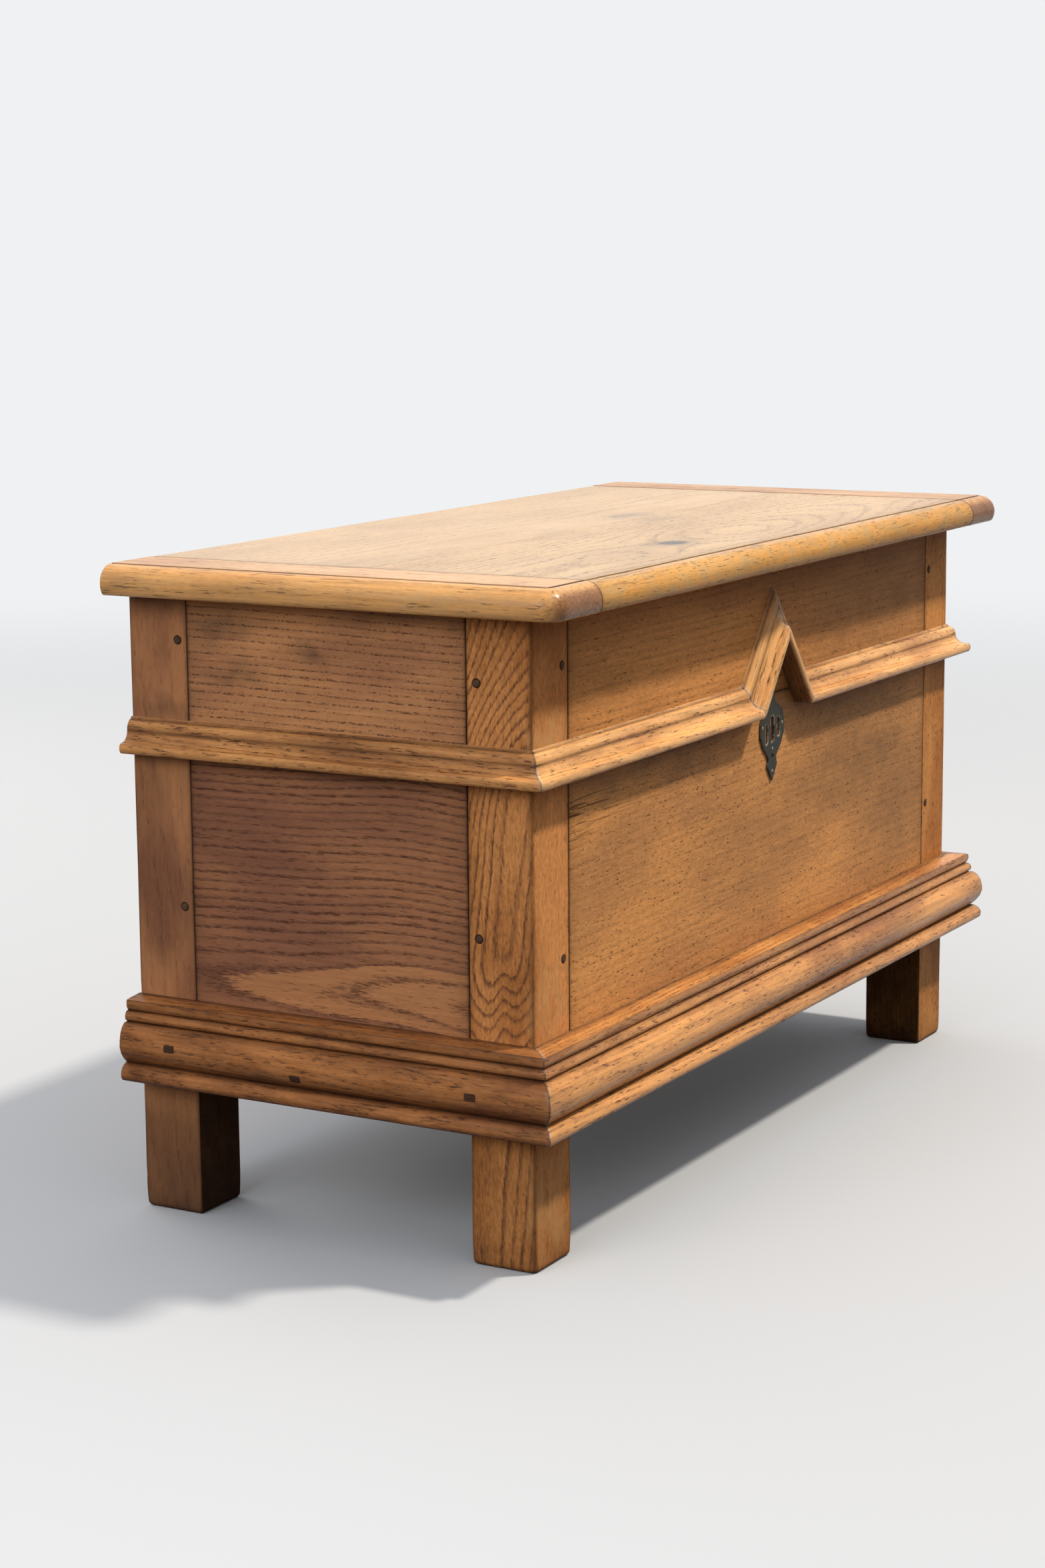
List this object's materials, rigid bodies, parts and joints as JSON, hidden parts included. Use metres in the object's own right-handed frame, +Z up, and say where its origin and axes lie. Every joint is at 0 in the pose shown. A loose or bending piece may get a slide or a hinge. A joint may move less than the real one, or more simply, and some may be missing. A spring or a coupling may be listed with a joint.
{
  "type": "storage chest",
  "caption": "Long oak storage chest on square post feet, with moulded waist and base bands, a chevron over the pierced keyhole plate and a hinged round-edged lid.",
  "frame": {"origin": "centre of the bounding box's footprint, on the floor", "axes": "+X along the chest to the right seen from the front, +Y to the back, +Z up"},
  "size_m": [1.016, 0.4776, 0.6083],
  "materials": {
    "oak_post": "waxed, satin",
    "oak_board": "waxed, satin",
    "oak_moulding": "waxed, satin",
    "oak_lid": "waxed, polished by use",
    "oak_cleat": "waxed, polished by use",
    "oak_peg": "end grain, darkened",
    "oak_bare": "bare, sawn",
    "iron_dark": "wrought, blackened"
  },
  "bodies": {
    "carcass": {"back_board_lower": "oak_board", "back_board_upper": "oak_board", "base_moulding_front": "oak_moulding", "base_moulding_left": "oak_moulding", "base_moulding_right": "oak_moulding", "bottom_board_1": "oak_bare", "bottom_board_2": "oak_bare", "bottom_board_3": "oak_bare", "bottom_board_4": "oak_bare", "bottom_board_5": "oak_bare", "chevron_left": "oak_moulding", "chevron_right": "oak_moulding", "front_board_lower": "oak_board", "front_board_upper": "oak_board", "hinge_carcass_leaf_left": "iron_dark", "hinge_carcass_leaf_right": "iron_dark", "hinge_pin_left": "iron_dark", "hinge_pin_right": "iron_dark", "keyhole_plate": "iron_dark", "ledger_front": "oak_bare", "ledger_rear": "oak_bare", "left_board_lower": "oak_board", "left_board_upper": "oak_board", "lock_case": "iron_dark", "peg_back_left_lower": "oak_peg", "peg_back_left_upper": "oak_peg", "peg_back_right_lower": "oak_peg", "peg_back_right_upper": "oak_peg", "peg_front_left_lower": "oak_peg", "peg_front_left_upper": "oak_peg", "peg_front_right_lower": "oak_peg", "peg_front_right_upper": "oak_peg", "peg_side_front_left_lower": "oak_peg", "peg_side_front_left_upper": "oak_peg", "peg_side_front_right_lower": "oak_peg", "peg_side_front_right_upper": "oak_peg", "peg_side_rear_left_lower": "oak_peg", "peg_side_rear_left_upper": "oak_peg", "peg_side_rear_right_lower": "oak_peg", "peg_side_rear_right_upper": "oak_peg", "post_front_left": "oak_post", "post_front_right": "oak_post", "post_rear_left": "oak_post", "post_rear_right": "oak_post", "right_board_lower": "oak_board", "right_board_upper": "oak_board", "waist_moulding_front_left": "oak_moulding", "waist_moulding_front_right": "oak_moulding", "waist_moulding_left": "oak_moulding", "waist_moulding_right": "oak_moulding"},
    "lid": {"hinge_lid_leaf_left": "iron_dark", "hinge_lid_leaf_right": "iron_dark", "lid_board_front": "oak_lid", "lid_board_rear": "oak_lid", "lid_cleat_left": "oak_cleat", "lid_cleat_right": "oak_cleat", "lid_staple": "iron_dark"},
    "bolt": {"lock_bolt": "iron_dark"}
  },
  "joints": [
    {"name": "lid_hinge", "type": "hinge", "parent": "carcass", "child": "lid", "pos_m": [0, 0.2343, 0.58015], "axis": [-1, 0, 0], "range_deg": [0, 102]},
    {"name": "bolt_slide", "type": "slide", "parent": "carcass", "child": "bolt", "axis": [1, 0, 0], "range_m": [0, 0.014]}
  ]
}
